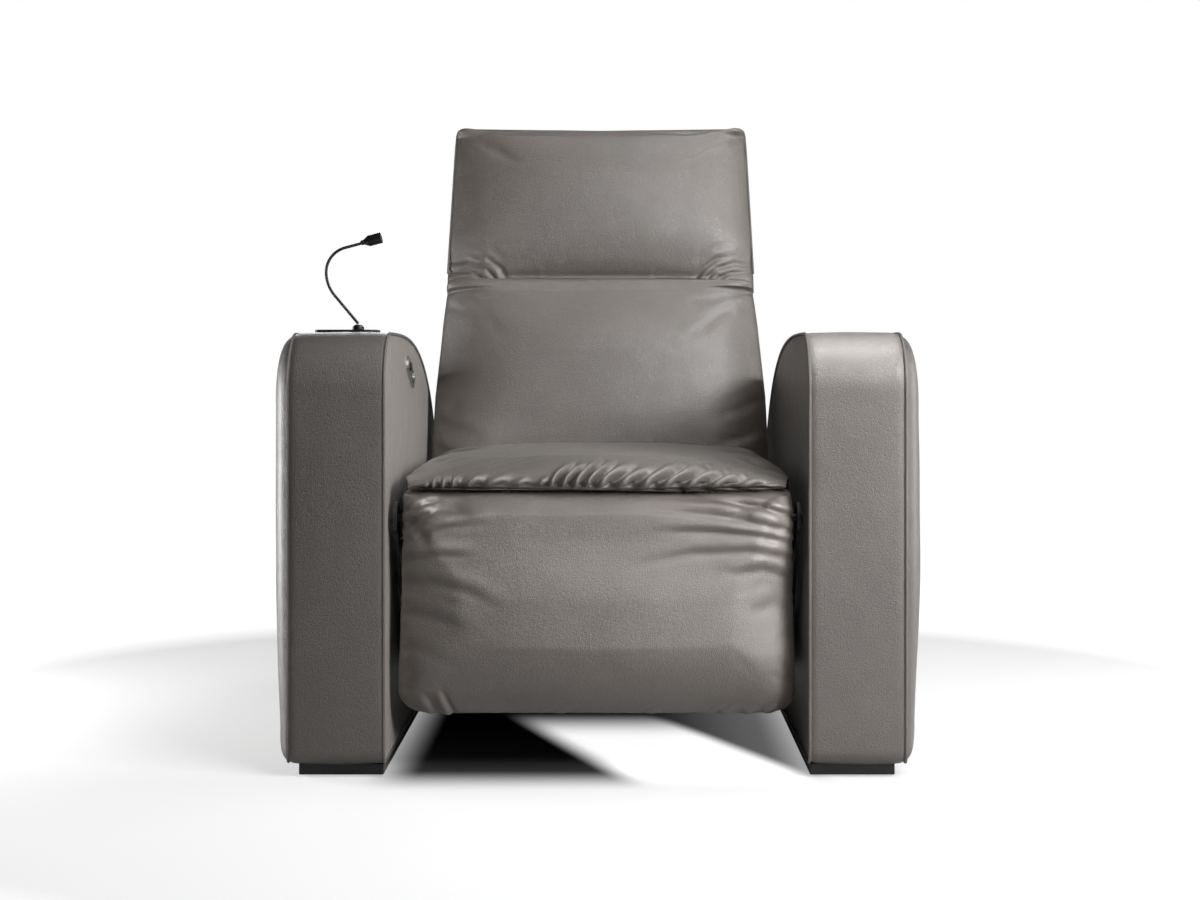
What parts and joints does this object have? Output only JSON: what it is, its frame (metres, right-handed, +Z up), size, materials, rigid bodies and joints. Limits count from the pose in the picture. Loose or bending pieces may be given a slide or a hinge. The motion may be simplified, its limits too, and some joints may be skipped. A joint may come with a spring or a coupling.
{
  "type": "cinema recliner seat",
  "caption": "Upholstered leather cinema recliner: two curved arms on plinths, hinged legrest, reclining back with tilting headrest, bent reading lamp and arm control.",
  "frame": {"origin": "on the floor, under the middle of the seat's bounding box", "axes": "+Z up, +X to the viewer's right when facing the seat, the seat faces -Y"},
  "size_m": [0.998, 0.9344, 1.0469],
  "materials": {
    "leather": "satin",
    "leather_dark": "satin",
    "birch": "matte",
    "steel": "satin",
    "zinc": "satin",
    "black_plastic": "matte",
    "black_metal": "satin",
    "webbing": "matte",
    "satin_metal": "satin",
    "diffuser": "gloss",
    "glide": "matte"
  },
  "bodies": {
    "base": {"left_arm_frame": "birch", "right_arm_frame": "birch", "left_arm_band": "leather", "right_arm_band": "leather", "left_arm_inner_panel": "leather", "right_arm_inner_panel": "leather", "left_arm_outer_panel": "leather", "right_arm_outer_panel": "leather", "left_arm_piping": "leather_dark", "right_arm_piping": "leather_dark", "left_plinth": "black_metal", "right_plinth": "black_metal", "floor_glides": "glide", "rail_bolts": "zinc", "front_cross_rail": "steel", "rear_cross_rail": "steel", "left_side_plate": "steel", "right_side_plate": "steel", "seat_frame": "steel", "seat_board": "birch", "seat_cushion": "leather", "legrest_motor": "black_plastic", "back_motor": "black_plastic", "control_bezel": "satin_metal", "switch_box": "black_plastic", "console_plate": "black_metal", "control_box": "black_plastic", "power_inlet": "black_plastic"},
    "legrest": {"legrest_board": "birch", "legrest_cushion": "leather", "legrest_lining": "webbing", "legrest_brackets": "steel", "legrest_pins": "zinc", "legrest_lever": "steel"},
    "legrest_rod": {"legrest_actuator_rod": "zinc", "legrest_cross_pin": "zinc"},
    "back": {"back_frame": "steel", "back_webbing": "webbing", "back_cushion": "leather", "back_shell": "leather_dark", "back_brackets": "steel", "back_pins": "zinc", "back_lever_arms": "steel", "headrest_arms": "steel"},
    "back_rod": {"back_actuator_rod": "zinc", "back_cross_pin": "zinc"},
    "headrest": {"headrest_board": "birch", "headrest_cushion": "leather", "headrest_shell": "leather_dark", "headrest_eyes": "steel", "headrest_pins": "zinc"},
    "recline_key": {"recline_button": "black_plastic"},
    "return_key": {"return_button": "satin_metal"},
    "lamp": {"lamp_socket": "black_metal", "lamp_neck": "black_metal"},
    "lamp_tip": {"lamp_head": "black_metal", "lamp_lens": "diffuser"}
  },
  "joints": [
    {"name": "legrest_lift", "type": "hinge", "parent": "base", "child": "legrest", "pos_m": [0, -0.405, 0.378], "axis": [-1, 0, 0], "range_deg": [0, 80]},
    {"name": "legrest_actuator", "type": "slide", "parent": "base", "child": "legrest_rod", "axis": [0, -1, 0], "range_m": [0, 0.14315]},
    {"name": "back_recline", "type": "hinge", "parent": "base", "child": "back", "pos_m": [0, 0.195, 0.395], "axis": [-1, 0, 0], "range_deg": [0, 45]},
    {"name": "back_actuator", "type": "slide", "parent": "base", "child": "back_rod", "axis": [0, -1, 0], "range_m": [0, 0.12476]},
    {"name": "headrest_tilt", "type": "hinge", "parent": "back", "child": "headrest", "pos_m": [0, 0.2558, 0.76487], "axis": [1, 0, 0], "range_deg": [0, 35]},
    {"name": "recline_press", "type": "slide", "parent": "base", "child": "recline_key", "axis": [-1, 0, 0], "range_m": [0, 0.0012], "stiffness_N_per_m": 400},
    {"name": "return_press", "type": "slide", "parent": "base", "child": "return_key", "axis": [-1, 0, 0], "range_m": [0, 0.0012], "stiffness_N_per_m": 400},
    {"name": "lamp_swivel", "type": "hinge", "parent": "base", "child": "lamp", "pos_m": [-0.366, -0.335, 0.66], "axis": [0, 0, 1], "range_deg": [-150, 150]},
    {"name": "lamp_head_tilt", "type": "hinge", "parent": "lamp", "child": "lamp_tip", "pos_m": [-0.35926, -0.335, 0.79362], "axis": [0, 1, 0], "range_deg": [-30, 30]}
  ],
  "couplings": [
    {"joint": "legrest_actuator", "follows": "legrest_lift", "m_per_rad": 0.10216},
    {"joint": "back_actuator", "follows": "back_recline", "m_per_rad": 0.15822}
  ]
}
